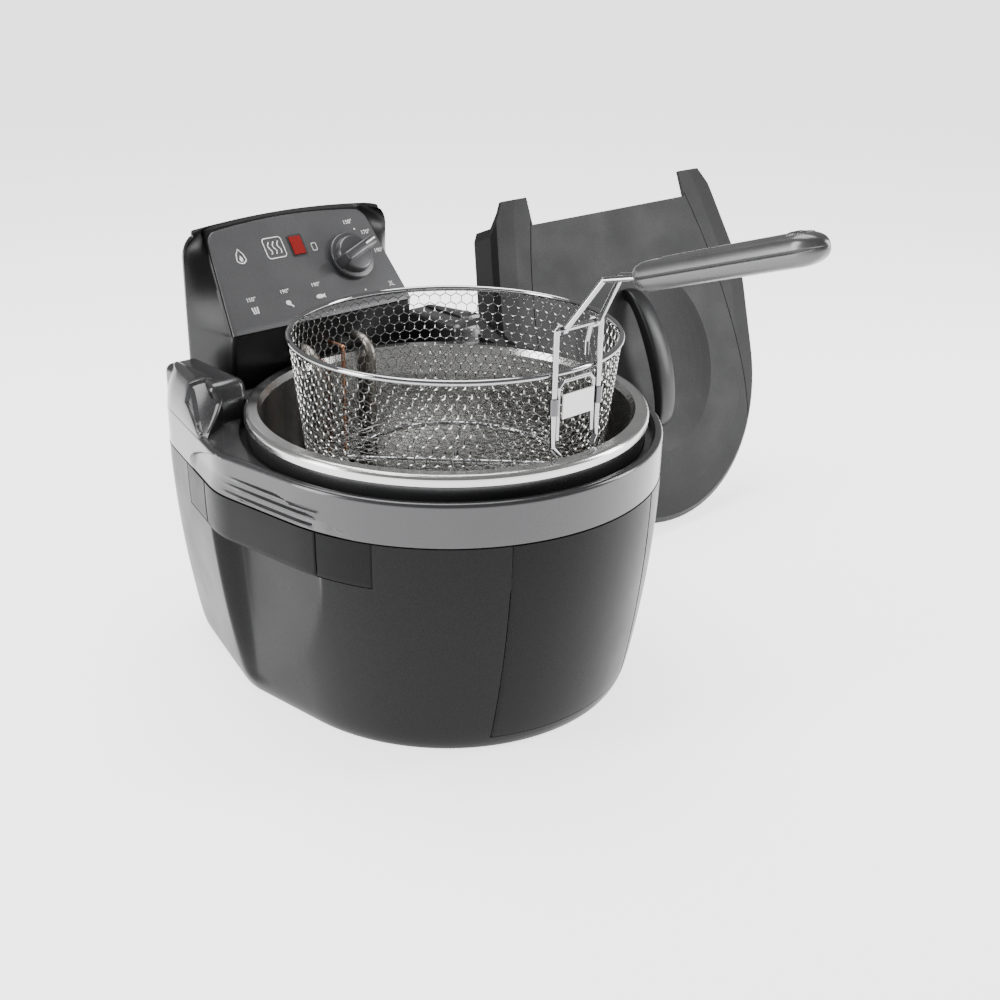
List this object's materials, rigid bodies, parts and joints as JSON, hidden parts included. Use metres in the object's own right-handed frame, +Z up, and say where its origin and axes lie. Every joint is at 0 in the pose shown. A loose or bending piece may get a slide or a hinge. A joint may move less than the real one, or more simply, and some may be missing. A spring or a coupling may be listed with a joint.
{
  "type": "deep fryer",
  "caption": "Countertop deep fryer with round body, lift-out pot, wire basket with folding handle, sloping rear control unit and loose lid.",
  "frame": {"origin": "on the axis of the pot, in the plane that the rubber feet stand on", "axes": "+Z up, -Y towards the round front and the basket handle, +Y towards the control unit, +X towards the standing lid"},
  "size_m": [0.54, 0.4182, 0.3128],
  "materials": {
    "pewter_housing": "glossy metallic pewter",
    "anthracite_shell": "satin anthracite with a fine metallic fleck",
    "anthracite_panel": "satin near-black with a fine metallic fleck",
    "dark_strip": "fine grained",
    "black_plastic": "moulded",
    "foot_rubber": "matt",
    "zinc_steel": "zinc plated",
    "stainless": "satin stainless, brushed round the rim",
    "basket_chrome": "bright chrome wire",
    "basket_wire": "bright wire cloth",
    "clip_steel": "dark steel",
    "plain_plate": "plain white plate",
    "grip_plastic": "satin pewter",
    "unit_shell": "satin black with a fine fleck",
    "fascia": "satin grey metallic",
    "knob_plastic": "satin grey",
    "thermostat_metal": "plated",
    "copper": "bare copper",
    "red_lens": "clear red",
    "lamp_glass": "clear",
    "ceramic_block": "glazed, cream",
    "reset_red": "moulded",
    "gland_rubber": "matt",
    "element_metal": "heat tinted",
    "lid_plastic": "satin grey metallic",
    "lid_flank_plastic": "satin grey metallic",
    "lid_handle_plastic": "satin grey metallic",
    "pan_metal": "satin",
    "seal_rubber": "matt",
    "filter_mesh": "woven steel"
  },
  "bodies": {
    "housing": {"top_housing": "pewter_housing", "lower_shell": "anthracite_shell", "front_panel": "anthracite_panel", "grip_strip_left": "dark_strip", "grip_strip_right": "dark_strip", "base_plate": "black_plastic", "base_feet": "foot_rubber", "base_screws": "zinc_steel"},
    "pot": {"pot": "stainless"},
    "basket": {"basket_rim": "basket_chrome", "basket_cloth": "basket_wire", "basket_foot_ring": "basket_chrome", "basket_bracket": "basket_chrome", "basket_hoop": "basket_chrome", "bracket_clips": "clip_steel", "basket_tag_plate": "plain_plate"},
    "basket_handle": {"handle_wires": "basket_chrome", "grip_upper": "grip_plastic", "grip_lower": "grip_plastic"},
    "control_unit": {"control_front": "unit_shell", "control_rear_cover": "unit_shell", "control_fascia": "fascia", "control_base": "black_plastic", "control_screws": "zinc_steel", "thermostat": "thermostat_metal", "heat_sensor": "copper", "lamp_lens": "red_lens", "pilot_lamp": "lamp_glass", "terminal_block": "ceramic_block", "overheat_cutout": "thermostat_metal", "safety_switch": "black_plastic", "cord_gland": "gland_rubber", "heating_element": "element_metal", "element_bracket": "thermostat_metal"},
    "knob": {"knob": "knob_plastic", "knob_shaft": "zinc_steel"},
    "reset_button": {"reset_button": "reset_red"},
    "lid": {"lid_plate": "lid_plastic", "lid_flanks": "lid_flank_plastic", "lid_handle": "lid_handle_plastic", "lid_inner_pan": "pan_metal", "lid_seal": "seal_rubber", "lid_filter": "filter_mesh", "lid_screws": "zinc_steel"}
  },
  "joints": [
    {"name": "pot_lift", "type": "slide", "parent": "housing", "child": "pot", "axis": [0, 0, 1], "range_m": [0, 0.18]},
    {"name": "basket_lift", "type": "slide", "parent": "pot", "child": "basket", "axis": [0, 0, 1], "range_m": [-0.065, 0.18]},
    {"name": "handle_fold", "type": "hinge", "parent": "basket", "child": "basket_handle", "pos_m": [0, -0.10545, 0.2415], "axis": [-1, 0, 0], "range_deg": [0, 158]},
    {"name": "control_unit_lift", "type": "slide", "parent": "pot", "child": "control_unit", "axis": [0, 0, 1], "range_m": [0, 0.018]},
    {"name": "thermostat_turn", "type": "hinge", "parent": "control_unit", "child": "knob", "pos_m": [0.037, 0.14127, 0.22755], "axis": [0, -0.7986, 0.6018], "range_deg": [-200, 60]},
    {"name": "reset_press", "type": "slide", "parent": "control_unit", "child": "reset_button", "axis": [0, -1, 0], "range_m": [0, 0.0015], "stiffness_N_per_m": 800, "springref_m": -0.001},
    {"name": "lid_lift", "type": "slide", "parent": "housing", "child": "lid", "axis": [0, 0, 1], "range_m": [0, 0.25]}
  ]
}
